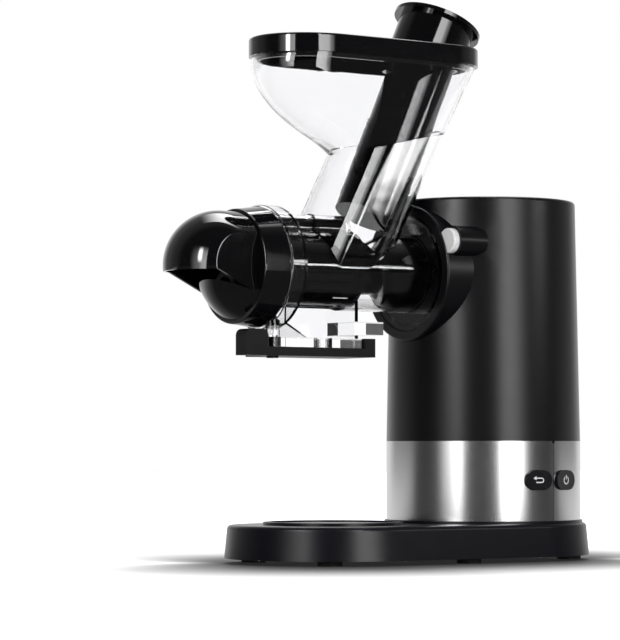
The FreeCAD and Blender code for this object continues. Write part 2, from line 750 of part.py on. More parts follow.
def motor_pieces():
    can = x_rod(motor_radius, case_back, case_back + motor_length, 0, motor_z)
    inside = x_rod(motor_radius - can_wall, case_back + can_floor, case_back + motor_length + 1, 0, motor_z)
    nose = x_rod(motor_shaft_radius + 0.3, case_back - 1, case_back + 4, 0, motor_z)
    holes = [x_rod(screw_radius, case_back - 1, case_back + can_floor, y, motor_z)
             for y in (-motor_screw_y, motor_screw_y)]
    pieces["motor_can"] = cut(can, [inside, nose] + holes)
    magnet_ring = x_ring(motor_radius - can_wall, motor_radius - can_wall - magnet_sheet,
                         case_back + magnet_inset,
                         case_back + motor_length - magnet_inset, 0, motor_z)
    gap = block(case_back, case_back + motor_length, -magnet_gap, magnet_gap, motor_z - motor_radius,
                motor_z + motor_radius)
    pieces["motor_magnets"] = Part.makeCompound(magnet_ring.cut(gap).Solids)
    cap_x = case_back + motor_length
    cap = x_rod(motor_radius, cap_x, cap_x + end_cap_length, 0, motor_z)
    plug = x_rod(motor_radius - can_wall - screw_play, cap_x - can_floor, cap_x, 0, motor_z)
    hole = x_rod(motor_shaft_radius + 0.2, cap_x - 5, cap_x + end_cap_length + 1, 0, motor_z)
    pieces["motor_end_cap"] = fuse([cap, plug]).cut(hole)
    screws = [screw(case_inner_back, y, motor_z, Vector(1, 0, 0), case_wall + can_floor)
              for y in (-motor_screw_y, motor_screw_y)]
    pieces["motor_screws"] = Part.makeCompound(screws)

    board_top = board_z + board_sheet
    pieces["power_board"] = block(board_left, board_right, -board_half_depth, board_half_depth, board_z,
                                  board_top)
    pieces["capacitor"] = z_rod(capacitor_radius, board_top, board_top + capacitor_height, capacitor_x,
                                capacitor_y)
    pieces["relay"] = block(relay_left, relay_left + relay_length, 0, relay_depth, board_top,
                            board_top + relay_height)
    lead_x = cap_x + end_cap_length / 2
    lead_top = motor_z - math.sqrt(motor_radius ** 2 - (lead_y - lead_radius) ** 2)
    leads = [z_rod(lead_radius, board_top, lead_top, lead_x, y) for y in (-lead_y, lead_y)]
    pieces["motor_leads"] = Part.makeCompound(leads)


def chute_centre(z):
    return chute_x + (z - chute_x_height) * tilt


def chute_outline(z, inset):
    centre = chute_centre(z)
    length = chute_half_length - inset / math.cos(math.radians(chute_tilt))
    return stadium_wire(centre - length, centre + length, chute_half_width - inset, z)


def chute_block(z0, z1, inset):
    return Part.makeLoft([chute_outline(z0, inset), chute_outline(z1, inset)], True, True)


def slanted(wire, z, slant):
    """A level outline moved along the chute's axis onto a plane that rises towards the column."""
    x0 = chute_centre(z) - chute_half_length
    climb = slant / (1 - slant * tilt)
    shear = Matrix(1 + climb * tilt, 0, 0, -climb * tilt * x0, 0, 1, 0, 0, climb, 0, 1, -climb * x0)
    return wire.transformGeometry(shear)


def hopper_section(share, inset):
    """One outline of the funnel, at a share of its height from the slanted seam up to the level rim."""
    z = chute_top + (hopper_top - chute_top) * share
    low_left = chute_centre(chute_top) - chute_half_length
    spread = math.sin(share * math.pi / 2) ** hopper_curve
    left = low_left + (hopper_rim_left - low_left) * spread + inset
    right = chute_centre(z) + chute_half_length - inset / math.cos(math.radians(chute_tilt))
    width = chute_half_width + (hopper_rim_half_width - chute_half_width) * share - inset
    if share == 0:
        left = low_left + inset / math.cos(math.radians(chute_tilt))
    return slanted(stadium_wire(left, right, width, z), z, chute_slant * (1 - share))


def hopper_block(inset):
    sections = [hopper_section(share, inset) for share in (0.0, 0.18, 0.36, 0.54, 0.72, 1.0)]
    return Part.makeLoft(sections, True, False)


def above_seam():
    """Everything over the slanted seam between the chute and the hopper."""
    left = chute_centre(chute_top) - chute_half_length
    far = left + 2 * hopper_reach
    low = left - hopper_reach
    return prism_y([(low, chute_top + (low - left) * chute_slant),
                    (far, chute_top + (far - left) * chute_slant),
                    (far, 2 * hopper_top), (low, 2 * hopper_top)], -hopper_reach, hopper_reach)


def head_pieces():
    flange = x_rod(socket_bore_radius - head_play, flange_front, flange_front + flange_sheet)
    spigot_x = flange_front + flange_sheet
    spigot_radius = socket_bore_radius - head_play - 2.5
    spigot = x_ring(spigot_radius, spigot_radius - spigot_wall, spigot_x, spigot_x + spigot_depth)
    collar = x_rod(collar_radius, tube_front, collar_rear)
    collar = collar.makeFillet(collar_edge, [edge for edge in collar.Edges if edge.BoundBox.XLength < 0.01])
    collar_hollow = x_rod(collar_radius - collar_wall, tube_front - 1, collar_rear - collar_wall)
    tube = x_rod(tube_radius, tube_front, flange_front)
    ridge = x_rod(ridge_radius, tube_front, ridge_end, 0, ridge_z)
    keyway = x_rod(ridge_radius - ridge_wall, tube_front - 1, ridge_end - ridge_wall, 0, ridge_z)
    solid = fuse([flange, spigot, collar.cut(collar_hollow), tube, ridge])
    bore = x_rod(tube_bore, tube_front - 1, flange_front)
    journal_hole = x_rod(journal_radius + 0.4, flange_front - 1, spigot_x + 1)
    mouth = chute_block(auger_z, auger_z + tube_radius + ridge_radius + 2, chute_wall).common(
        block(ridge_end + feed_gap, 0, -tube_radius, tube_radius, auger_z, chute_top))
    slot = block(spout_left + drain_inset, spout_right - drain_inset, -drain_half_width, drain_half_width,
                 auger_z - tube_radius - 2, auger_z)
    solid = cut(solid, [bore, keyway, journal_hole, mouth, slot])
    pieces["juicing_tube"] = solid

    chute = chute_block(auger_z, hopper_top, 0).cut(chute_block(auger_z - 1, hopper_top + 1, chute_wall))
    pieces["feed_chute"] = cut(chute,
                               [above_seam(), x_rod(tube_radius, tube_front, flange_front + flange_sheet),
                                       x_rod(ridge_radius, tube_front, ridge_end, 0, ridge_z)])
    hopper = hopper_block(0).cut(hopper_block(chute_wall))
    pieces["feed_hopper"] = hopper

    funnel = prism_y([(spout_left, auger_z - 12), (spout_left, spout_knee_z), (spout_slope_left, slab_top),
                      (spout_right, slab_top), (spout_right, auger_z - 12)],
                     -spout_half_width, spout_half_width)
    inner = prism_y([(spout_left + spout_wall, auger_z - 11), (spout_left + spout_wall, spout_knee_z + 1),
                     (spout_slope_left + spout_wall, slab_top), (spout_right - spout_wall, slab_top),
                     (spout_right - spout_wall, auger_z - 11)],
                    spout_wall - spout_half_width, spout_half_width - spout_wall)
    collar_space = x_rod(collar_radius, tube_front - 20, collar_rear)
    funnel = cut(funnel, [inner, x_rod(tube_radius, tube_front, flange_front), collar_space])
    slab = block(spout_left, spout_right, -slab_half_width, slab_half_width, slab_bottom, slab_top)
    outlet = z_rod(outlet_radius, slab_bottom - 1, slab_top + 1, outlet_x)
    tail_z = slab_top + spout_tail_rise
    tail = block(spout_right, spout_right + spout_tail_length, -spout_half_width, spout_half_width,
                 tail_z, tail_z + spout_tail_height)
    post_radius = lever_pin_radius + lever_post_wall
    post = z_rod(post_radius, slab_bottom, auger_z - tube_radius, lever_pivot_x, lever_pivot_y)
    bridge = block(lever_pivot_x, spout_left, lever_pivot_y - post_radius, lever_pivot_y + post_radius,
                   slab_bottom, slab_top)
    post = post.cut(collar_space)
    spout = fuse([funnel, slab.cut(outlet), tail, post, bridge])
    pin_hole = z_rod(lever_pin_radius, slab_bottom - 1, slab_top + 1, lever_pivot_x, lever_pivot_y)
    pieces["juice_spout"] = spout.cut(pin_hole)
    pin = z_rod(lever_pin_radius, lever_bottom, slab_top, lever_pivot_x, lever_pivot_y)
    pin_head = z_rod(lever_pin_radius + lever_pin_head, lever_bottom - lever_pin_head, lever_bottom,
                     lever_pivot_x, lever_pivot_y)
    pieces["lever_pin"] = pin.fuse(pin_head)


def lever_pieces():
    near = lever_pivot_y - lever_hub_radius
    hub = z_rod(lever_hub_radius, lever_bottom, lever_top, lever_pivot_x, lever_pivot_y)
    bar = block(lever_pivot_x, lever_bar_end, near, lever_bar_half_width, lever_bottom, lever_top)
    catch = block(lever_bar_end - lever_catch, lever_bar_end, near, lever_bar_half_width, lever_bottom,
                  lever_catch_top)
    tab = block(lever_tab_left, lever_tab_right, near, near + lever_tab_depth, lever_bottom, lever_tab_top)
    upper_edges = [edge for edge in tab.Edges
                   if edge.BoundBox.YLength > 1 and edge.BoundBox.ZMin > lever_bottom + 1]
    tab = tab.makeFillet(lever_tab_edge, upper_edges)
    link = block(lever_tab_right - 1, lever_pivot_x, near, near + lever_tab_depth, lever_bottom, lever_top)
    lever = fuse([hub, bar, catch, tab, link])
    hole = z_rod(lever_pin_radius + lever_hole_play, lever_bottom - 1, lever_top + 1, lever_pivot_x,
                 lever_pivot_y)
    pocket = z_rod(seal_radius, lever_top - seal_seat, lever_top + 1, outlet_x)
    pieces["drip_lever"] = lever.cut(hole).cut(pocket)
    pieces["drip_seal"] = z_rod(seal_radius, lever_top - seal_seat, slab_bottom - seal_play, outlet_x)


def strainer_pieces():
    rear = strainer_rear
    front_band = strainer_front_band
    ring = x_ring(strainer_radius, strainer_bore, tube_front, tube_front + front_band)
    flange_outer = cap_front_radius - cap_wall - strainer_play
    flange = x_ring(flange_outer, strainer_bore, tube_front - strainer_flange, tube_front)
    tail = x_ring(strainer_radius, strainer_bore, rear - strainer_tail_band, rear)
    ribs = []
    for number in range(strainer_ribs):
        rib = block(tube_front + front_band - 1, rear - strainer_tail_band + 1, -strainer_rib_half_width,
                    strainer_rib_half_width, auger_z + strainer_bore + mesh_sheet + 0.05, auger_z + strainer_radius)
        rib.rotate(Vector(0, 0, auger_z), Vector(1, 0, 0), (number + 0.5) * 360 / strainer_ribs)
        ribs.append(rib)
    key = x_rod(ridge_radius - ridge_wall - key_play, tube_front, ridge_end - ridge_wall - key_play, 0,
                ridge_z)
    key = key.cut(x_rod(strainer_bore + mesh_sheet, tube_front - 1, rear))
    pieces["strainer_frame"] = fuse([ring, flange, tail, key] + ribs)
    mesh = x_ring(strainer_bore + mesh_sheet, strainer_bore, tube_front + front_band,
                  rear - strainer_tail_band)
    for number in range(strainer_slots):
        slot = block(tube_front + front_band + slot_margin, rear - strainer_tail_band - slot_margin,
                     -strainer_slot_width / 2, strainer_slot_width / 2,
                     auger_z + strainer_bore - 2, auger_z + strainer_radius + 2)
        slot.rotate(Vector(0, 0, auger_z), Vector(1, 0, 0), (number + 0.5) * 360 / strainer_slots)
        mesh = mesh.cut(slot)
    pieces["strainer_mesh"] = mesh


def auger_pieces():
    rear = flange_front - 1.0
    front = tube_front + 2.0
    core = x_cone(auger_front_core, auger_rear_core, front, rear)
    drum_radius = tube_bore - auger_play
    disc = x_rod(drum_radius, rear - auger_drum, rear)
    shoulder = x_cone(auger_rear_core, drum_radius, rear - auger_drum - auger_shoulder, rear - auger_drum)
    nose = x_rod(nose_pin_radius, tube_front - nose_pin_length, front)
    feed_start = strainer_rear - auger_feed_pitch / 4
    press_pitch = (feed_start - front - auger_flight) / auger_press_turns
    press = auger_flight_solid(feed_start, press_pitch, -auger_press_turns)
    feed = auger_flight_solid(feed_start, auger_feed_pitch,
                              (rear - auger_drum - feed_start) / auger_feed_pitch)
    journal = x_rod(journal_radius, rear, flange_front + flange_sheet + 1)
    pieces["auger"] = fuse([core, disc, shoulder, nose, press, feed, journal])
    shaft = hex_prism(hex_width - 2 * hex_play, flange_front + flange_sheet + 1, drive_front + engagement)
    pieces["auger_drive_shaft"] = shaft
    pieces["auger_seal"] = x_ring(journal_radius + 3, journal_radius, rear + 0.2, rear + 0.8)


def auger_flight_solid(x0, pitch, turns):
    """The screw thread from the station x0, towards the column for turns above zero, else away from it."""
    length = pitch * abs(turns)
    helix = Part.makeHelix(pitch, length, auger_radius)
    half = auger_flight / 2
    foot_radius_inside = auger_rear_core - 2
    corners = [Vector(foot_radius_inside, 0, -half), Vector(auger_radius, 0, -half * flight_taper),
               Vector(auger_radius, 0, half * flight_taper), Vector(foot_radius_inside, 0, half)]
    strip = Part.makePolygon(corners + corners[:1])
    pipe = Part.BRepOffsetAPI.MakePipeShell(helix)
    pipe.setFrenetMode(True)
    pipe.add(strip)
    pipe.build()
    pipe.makeSolid()
    flight = pipe.shape()
    flight.rotate(Vector(0, 0, 0), Vector(0, 1, 0), 90)
    if turns < 0:
        flight.rotate(Vector(0, 0, 0), Vector(1, 0, 0), 360 * turns)
    flight.translate(Vector(x0 - length if turns < 0 else x0, 0, auger_z))
    flight.rotate(Vector(0, 0, auger_z), Vector(1, 0, 0), flight_start_angle)
    return flight


def cap_pieces():
    wall_x = cap_front + cap_wall
    ring = x_cone(cap_front_radius, cap_rear_radius, cap_front, tube_front - cap_gap)
    ring = ring.makeFillet(cap_edge, [edge for edge in ring.Edges if edge.BoundBox.XLength < 0.01])
    hollow = x_rod(cap_front_radius - cap_wall, wall_x, tube_front + 5)
    hub = x_rod(nose_pin_radius + nose_hub_wall, wall_x - 1, tube_front - nose_hub_gap)
    hub_bore = x_rod(nose_pin_radius + nose_play, wall_x, tube_front)
    nozzle_z = auger_z - nozzle_drop
    nozzle_hole = x_rod(nozzle_bore_radius, cap_front - 2, wall_x + 1, 0, nozzle_z)
    pieces["cap_ring"] = cut(fuse([ring.cut(hollow), hub]), [hub_bore, nozzle_hole])
    pieces["pulp_nozzle"] = x_ring(nozzle_radius, nozzle_bore_radius, cap_front - nozzle_length, cap_front,
                                   0, nozzle_z)

    def dome(radius, half_width):
        whole = Part.makeSphere(radius, Vector(hood_x, 0, auger_z)).fuse(x_rod(radius, hood_x, cap_front))
        slab = block(hood_x - radius - 5, cap_front, -half_width, half_width, auger_z - radius,
                     auger_z + radius)
        return whole.common(slab)

    outer = dome(hood_radius, hood_half_width)
    cheek_edges = [edge for edge in outer.Edges if abs(edge.BoundBox.YMax) > hood_half_width - 0.01
                   and edge.BoundBox.YLength < 0.01 and edge.BoundBox.XMin < cap_front - 1]
    outer = outer.makeFillet(hood_edge, cheek_edges)
    shell = outer.cut(dome(hood_radius - hood_wall, hood_half_width - hood_wall))
    turn_x = cap_front - hood_rim_turn
    far = 2 * hood_radius
    below = prism_y([(hood_x - far, auger_z - far), (hood_x - far, hood_rim_z), (turn_x, hood_rim_z),
                     (cap_front - hood_rim_flat, hood_rim_low_z), (cap_front + 1, hood_rim_low_z),
                     (cap_front + 1, auger_z - far)], -far, far)
    hood = shell.cut(below)
    bowl_centre = Vector(tube_front, 0, auger_z)
    bowl = Part.makeSphere(cap_rear_radius,
                           bowl_centre).cut(Part.makeSphere(cap_rear_radius - hood_wall, bowl_centre))
    bowl_keep = prism_y([(cap_front, auger_z - far), (cap_front, hood_rim_low_z),
                         (cap_front - hood_rim_flat, hood_rim_low_z), (turn_x, hood_rim_z),
                         (turn_x - far, hood_rim_z), (turn_x - far, auger_z - far)], -far, far)
    bowl = bowl.common(bowl_keep)
    pieces["cap_hood"] = fuse([hood, bowl])
    gasket_radius = cap_front_radius - cap_wall
    gasket_x = tube_front - strainer_flange - gasket_play
    pieces["cap_gasket"] = x_ring(gasket_radius, gasket_radius - gasket_width, gasket_x - gasket_sheet,
                                  gasket_x)


def lid_pieces():
    left = hopper_rim_left - lid_overhang
    right = chute_centre(hopper_top) + chute_half_length + lid_overhang
    width = hopper_rim_half_width + lid_overhang
    top = hopper_top + lid_height
    body = stadium(left, right, width, hopper_top, top)
    edges = [edge for edge in body.Edges if edge.BoundBox.ZMin > top - 0.01]
    body = body.makeFillet(2.0, edges)
    hollow = stadium(left + lid_sheet + 2, right - lid_sheet - 2, width - lid_sheet - 2, hopper_top - 1,
                     top - lid_sheet)
    inset = chute_wall + lid_play
    skirt_left = hopper_rim_left + inset
    skirt_right = right - lid_overhang - inset / math.cos(math.radians(chute_tilt)) - lid_play
    skirt_width = hopper_rim_half_width - inset
    taper = lid_skirt_depth * tilt

    def skirt_block(thin):
        low = stadium_wire(skirt_left + lid_skirt_lead + thin, skirt_right - taper - thin,
                           skirt_width - lid_skirt_lead - thin, hopper_top - lid_skirt_depth)
        high = stadium_wire(skirt_left + thin, skirt_right - thin, skirt_width - thin, hopper_top)
        upper = stadium(skirt_left + thin, skirt_right - thin, skirt_width - thin, hopper_top,
                        top - lid_sheet)
        return Part.makeLoft([low, high], True, True).fuse(upper)

    skirt = skirt_block(0).cut(skirt_block(lid_skirt_wall))
    reach = block(left, right, -width, width, hopper_top - lid_skirt_depth, top - 0.5)
    guide = axis_rod(guide_radius + guide_wall, hopper_top - width, top + width).common(reach)
    hole = axis_rod(guide_radius, hopper_top - 2 * width, top + 2 * width)
    pieces["hopper_lid"] = fuse([body.cut(hollow), skirt, guide]).cut(hole)


def pusher_point(z):
    return Vector(pusher_x + (z - chute_x_height) * lean, 0, z)


def axis_rod(radius, z0, z1):
    """A round bar on the pusher's tilted axis, between two heights of its centre line."""
    return Part.makeCylinder(radius, (z1 - z0) / pusher_axis.z, pusher_point(z0), pusher_axis)


def axis_cone(radius0, radius1, z0, z1):
    return Part.makeCone(radius0, radius1, (z1 - z0) / pusher_axis.z, pusher_point(z0), pusher_axis)


def pusher_pieces():
    neck_low = lid_top + pusher_neck_radius * pusher_axis.x + neck_play
    rim_top = pusher_top + pusher_rim_height
    stem = axis_rod(pusher_radius, pusher_bottom, pusher_top)
    neck = axis_rod(pusher_neck_radius, neck_low, pusher_top)
    rim = axis_rod(pusher_rim_radius, pusher_top, rim_top)
    body = fuse([stem, neck, rim])
    hollow = axis_rod(pusher_radius - pusher_wall, pusher_bottom + pusher_floor, rim_top + 1)
    cup = axis_rod(pusher_neck_radius - pusher_wall, neck_low + 2 * pusher_wall, rim_top)
    mouth = axis_cone(pusher_neck_radius - pusher_wall, pusher_rim_radius - pusher_wall,
                      pusher_top - pusher_wall,
                      rim_top)
    over = axis_rod(pusher_rim_radius - pusher_wall, rim_top, rim_top + 1)
    pieces["pusher"] = cut(body, [hollow, cup, mouth, over])


# Sizes of hidden fits, worked out from the pieces on both sides
inlet_radius = 5.5
gland_bore = 3.2
gland_length = 6.0
gland_lip = 1.5
gland_seat_y = base_radius - gland_length - base_wall + 0.1
inlet_z = foot_height + base_height / 2
board_z = cover_top + 4.0
board_face = 52.8
board_post_y = 26.0
board_post_rise = 15.0
board_margin = 4.0
switch_height = 3.2
switch_half_width = 3.0
button_back = 60.5
release_stem = 3.0
release_face = socket_face + 1.0
barrel_radius = release_radius + release_play + release_wall
barrel_front = release_face + release_travel + 0.5
barrel_back = barrel_front + barrel_length
motor_screw_y = 18.5
lead_radius = 1.2
lead_y = 6.0
output_shaft_radius = 4.0
journal_radius = 8.0
seal_outer = drive_radius + drive_play + bearing_wall + 2.0
drive_front = socket_floor - engagement
guide_radius = pusher_radius + guide_play
hopper_curve = 1.4
cap_gap = 0.3
flight_taper = 0.7
flight_start_angle = 90.0
lid_top = hopper_top + lid_height


def build():
    base_pieces()
    column_pieces()
    gearbox_pieces()
    gear_pieces()
    motor_pieces()
    head_pieces()
    lever_pieces()
    strainer_pieces()
    auger_pieces()
    cap_pieces()
    lid_pieces()
    pusher_pieces()


def origin_shift():
    """From the column's axis to the middle of the whole, so that the origin is under the middle."""
    front = hood_x - hood_radius
    return Vector(-(front + base_radius) / 2, 0, 0)


if __name__ == "__main__":
    build()
    os.makedirs("parts", exist_ok=True)
    for name, shape in pieces.items():
        shape = shape.copy()
        shape.translate(origin_shift())
        shape.exportStep("parts/" + name + ".step")
        print(name, len(shape.Solids), "solid", round(shape.Volume, 1),
              "valid" if shape.isValid() else "NOT VALID")
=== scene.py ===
import json
import math

import bmesh
import bpy
from mathutils import Matrix, Vector


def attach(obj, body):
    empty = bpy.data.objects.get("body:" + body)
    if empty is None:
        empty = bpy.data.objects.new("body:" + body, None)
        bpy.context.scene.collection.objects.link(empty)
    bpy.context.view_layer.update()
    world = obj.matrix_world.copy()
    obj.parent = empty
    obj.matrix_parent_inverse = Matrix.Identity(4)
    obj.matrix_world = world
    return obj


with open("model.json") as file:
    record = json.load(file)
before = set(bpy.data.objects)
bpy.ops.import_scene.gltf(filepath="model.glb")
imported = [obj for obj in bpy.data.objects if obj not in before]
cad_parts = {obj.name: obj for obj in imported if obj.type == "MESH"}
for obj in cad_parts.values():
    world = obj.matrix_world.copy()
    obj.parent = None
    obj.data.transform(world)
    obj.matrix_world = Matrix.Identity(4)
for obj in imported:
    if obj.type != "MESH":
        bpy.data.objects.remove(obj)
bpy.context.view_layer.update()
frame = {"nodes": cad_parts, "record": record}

# One millimetre in the scene's metres, and places on the juicer in its own frame
MM = 0.001
COLUMN_X = 96.45 * MM
HORIZON_HEIGHT = 81.0 * MM

# The camera that took the photograph, worked out from its straight and round edges
IMAGE_WIDTH = 620
IMAGE_HEIGHT = 640
FOCAL_PIXELS = 3100.0
HORIZON_ROW = 446.0
COLUMN_PIXEL = 483.0
VIEW_YAW = math.radians(36.0)
PIXEL_SIZE = 0.72 * MM
SENSOR_MM = 36.0
FARTHEST_SEEN = 20.0

# The steel band's brushing: the radius its streaks run round at, and how much longer than wide they are
BAND_RADIUS = 69.5 * MM
STREAK_STRETCH = 60

# The push buttons' flat faces: their bearings round the column, distance from its axis and height
BUTTON_ANGLES = {"reverse": math.radians(264.4), "on_off": math.radians(286.3)}
BUTTON_FACE = 70.9 * MM
BUTTON_HEIGHT = 57.0 * MM

# The symbols printed on them
PRINT_LINE = 0.8 * MM
PRINT_SHEET = 0.12 * MM
PRINT_SUNK = 0.04 * MM

# The pusher's slanted axis, and the collar that stands on the lid and carries its brim
PUSHER_LEAN = math.radians(24.5)
PUSHER_FOOT = Vector((COLUMN_X - 69.6 * MM, 0, 320.0 * MM))
COLLAR_OUTER = 27.05 * MM
COLLAR_INNER = 22.8 * MM
COLLAR_FOOT = 363.6 * MM
COLLAR_TOP = 380.0 * MM
COLLAR_SIDES = 96

# The studio, in metres: where its lamps point, and half the floor's width
LIGHT_AIM = Vector((0.0, 0.0, 0.2))
FLOOR_HALF = 6.0

# The floor's own glow as the camera sees it: a share of white near the juicer, full white farther out
FLOOR_GLOW = 0.2
GLOW_START = 0.2
GLOW_END = 0.8

# The floor as mirrors and clear parts show it: dark up to the juicer, white from a distance behind it
FLOOR_DARK = 0.07
FLOOR_WHITE = 0.95
WHITE_FROM = 0.6

# The painted shadow round the base: its round ends, its reach sideways and front to back, the white left in it
BASE_ENDS = (COLUMN_X - 134.0 * MM, COLUMN_X)
BASE_RADIUS = 75.6 * MM
SHADOW_SIDE = 35.0 * MM
SHADOW_FRONT = 210.0 * MM
SHADOW_DEPTH = 0.1

# The backdrop's grey for rough surfaces, and how much brighter than white the clear parts see it
STUDIO_GREY = 0.3
CLEAR_GAIN = 1.2


def to_linear(hex_colour):
    """An sRGB hex colour as the linear red, green, blue and alpha that shaders take."""
    channels = [int(hex_colour[i:i + 2], 16) / 255 for i in (1, 3, 5)]
    linear = [c / 12.92 if c <= 0.04045 else ((c + 0.055) / 1.055) ** 2.4 for c in channels]
    return (*linear, 1.0)


def add_node(tree, kind, inputs=None, **settings):
    """Adds one node with its settings; an input is a value or another node's output."""
    node = tree.nodes.new(kind)
    for name, value in settings.items():
        setattr(node, name, value)
    for socket, value in (inputs or {}).items():
        if isinstance(value, bpy.types.NodeSocket):
            tree.links.new(value, node.inputs[socket])
        else:
            node.inputs[socket].default_value = value
    return node


def new_material(name):
    """An empty node material with an output, ready for its surface."""
    material = bpy.data.materials.new(name)
    material.use_nodes = True
    material.node_tree.nodes.clear()
    output = add_node(material.node_tree, "ShaderNodeOutputMaterial")
    return material, material.node_tree, output


def place(tree, scale=(1.0, 1.0, 1.0)):
    """The surface point in metres, stretched along each axis, as texture coordinates."""
    coordinate = add_node(tree, "ShaderNodeTexCoord")
    mapping = add_node(tree, "ShaderNodeMapping", {"Vector": coordinate.outputs["Object"], "Scale": scale})
    return mapping.outputs["Vector"]


def moulded_plastic(name, colour, worn_colour, roughness, grain_mm, grain_depth_mm, spread=0.06, ior=1.53):
    """Injection moulded plastic: an even colour, a fine tool grain and faint handling marks in its gloss."""
    material, tree, output = new_material(name)
    point = place(tree)
    cloud = add_node(tree, "ShaderNodeTexNoise", {"Vector": point, "Scale": 1 / (35 * MM), "Detail": 4.0})
    tint = add_node(tree, "ShaderNodeMix", {"Factor": cloud.outputs["Fac"], "A": to_linear(colour),
                                            "B": to_linear(worn_colour)}, data_type="RGBA")
    marks = add_node(tree, "ShaderNodeTexNoise", {"Vector": point, "Scale": 1 / (9 * MM), "Detail": 6.0,
                                                  "Roughness": 0.65})
    gloss = add_node(tree, "ShaderNodeMapRange", {"Value": marks.outputs["Fac"], "From Min": 0.3,
                                                  "From Max": 0.7, "To Min": roughness - spread / 2,
                                                  "To Max": roughness + spread / 2})
    grain = add_node(tree, "ShaderNodeTexNoise", {"Vector": point, "Scale": 1 / (grain_mm * MM),
                                                  "Detail": 2.0})
    bump = add_node(tree, "ShaderNodeBump", {"Height": grain.outputs["Fac"], "Strength": 1.0,
                                             "Distance": grain_depth_mm * MM})
    shader = add_node(tree, "ShaderNodeBsdfPrincipled",
                      {"Base Color": tint.outputs["Result"], "Roughness": gloss.outputs["Result"],
                       "Normal": bump.outputs["Normal"], "IOR": ior})
    tree.links.new(shader.outputs["BSDF"], output.inputs["Surface"])
    return material


def satin_abs(name, colour, worn_colour, ior):
    """Spark-eroded ABS: nearly black, with wide soft highlights and a barely seen grain."""
    return moulded_plastic(name, colour, worn_colour, 0.3, 0.7, 0.003, 0.03, ior)


def polished_abs():
    """Mirror-polished black ABS: deep black with crisp softbox reflections and slight moulding waviness."""
    return moulded_plastic("polished_black_abs", "#050506", "#070709", 0.06, 14.0, 0.012, 0.03, 1.75)


def brushed_stainless():
    """Stainless sheet brushed around the column: streaks along the brushing, reflections drawn up and down."""
    material, tree, output = new_material("brushed_stainless")
    coordinate = add_node(tree, "ShaderNodeTexCoord")
    parts = add_node(tree, "ShaderNodeSeparateXYZ", {"Vector": coordinate.outputs["Object"]})
    across = add_node(tree, "ShaderNodeMath", {0: parts.outputs["X"], 1: COLUMN_X}, operation="SUBTRACT")
    angle = add_node(tree, "ShaderNodeMath", {0: parts.outputs["Y"], 1: across.outputs[0]}, operation="ARCTAN2")
    around = add_node(tree, "ShaderNodeMath", {0: angle.outputs[0], 1: BAND_RADIUS / STREAK_STRETCH},
                      operation="MULTIPLY")
    rolled = add_node(tree, "ShaderNodeCombineXYZ", {"X": around.outputs[0], "Z": parts.outputs["Z"]})
    streaks = add_node(tree, "ShaderNodeTexNoise",
                       {"Vector": rolled.outputs["Vector"], "Scale": 1 / (0.35 * MM), "Detail": 5.0,
                        "Roughness": 0.7})
    tint = add_node(tree, "ShaderNodeMix", {"Factor": streaks.outputs["Fac"], "A": to_linear("#c4c3c4"),
                                            "B": to_linear("#d2d1d1")}, data_type="RGBA")
    gloss = add_node(tree, "ShaderNodeMapRange", {"Value": streaks.outputs["Fac"], "To Min": 0.14,
                                                  "To Max": 0.22})
    bump = add_node(tree, "ShaderNodeBump", {"Height": streaks.outputs["Fac"], "Strength": 0.3,
                                             "Distance": 0.004 * MM})
    tangent = add_node(tree, "ShaderNodeTangent", direction_type="RADIAL", axis="Z")
    shader = add_node(tree, "ShaderNodeBsdfPrincipled",
                      {"Base Color": tint.outputs["Result"], "Metallic": 1.0,
                       "Roughness": gloss.outputs["Result"], "Anisotropic": 0.7,
                       "Tangent": tangent.outputs["Tangent"], "Normal": bump.outputs["Normal"]})
    tree.links.new(shader.outputs["BSDF"], output.inputs["Surface"])
    return material


def plated_metal(name, colour, roughness):
    """Plated or turned metal of small hardware: bright, with fine uneven machining in its gloss."""
    material, tree, output = new_material(name)
    grain = add_node(tree, "ShaderNodeTexNoise", {"Vector": place(tree), "Scale": 1 / (0.8 * MM),
                                                  "Detail": 4.0})
    gloss = add_node(tree, "ShaderNodeMapRange", {"Value": grain.outputs["Fac"], "To Min": roughness * 0.8,
                                                  "To Max": roughness * 1.25})
    bump = add_node(tree, "ShaderNodeBump", {"Height": grain.outputs["Fac"], "Distance": 0.01 * MM})
    shader = add_node(tree, "ShaderNodeBsdfPrincipled",
                      {"Base Color": to_linear(colour), "Metallic": 1.0, "Roughness": gloss.outputs["Result"],
                       "Normal": bump.outputs["Normal"]})
    tree.links.new(shader.outputs["BSDF"], output.inputs["Surface"])
    return material


def clear_polycarbonate():
    """Clear polycarbonate mouldings: water-clear, with slight flow waviness that bends reflections."""
    material, tree, output = new_material("clear_polycarbonate")
    flow = add_node(tree, "ShaderNodeTexNoise", {"Vector": place(tree), "Scale": 1 / (30 * MM), "Detail": 2.0})
    bump = add_node(tree, "ShaderNodeBump", {"Height": flow.outputs["Fac"], "Strength": 0.5,
                                             "Distance": 0.25 * MM})
    shader = add_node(tree, "ShaderNodeBsdfPrincipled",
                      {"Base Color": to_linear("#fcfcfd"), "Roughness": 0.01, "IOR": 1.55,
                       "Transmission Weight": 1.0, "Normal": bump.outputs["Normal"]})
    tree.links.new(shader.outputs["BSDF"], output.inputs["Surface"])
    return material


def circuit_board():
    """Glass-epoxy board with green solder mask over faint copper runs."""
    material, tree, output = new_material("solder_masked_board")
    runs = add_node(tree, "ShaderNodeTexBrick", {"Vector": place(tree), "Color1": to_linear("#0d4a26"),
                                                 "Color2": to_linear("#11562d"), "Mortar": to_linear("#1c7a42"),
                                                 "Scale": 1 / (8 * MM), "Mortar Size": 0.04})
    shader = add_node(tree, "ShaderNodeBsdfPrincipled", {"Base Color": runs.outputs["Color"],
                                                         "Roughness": 0.35})
    tree.links.new(shader.outputs["BSDF"], output.inputs["Surface"])
    return material


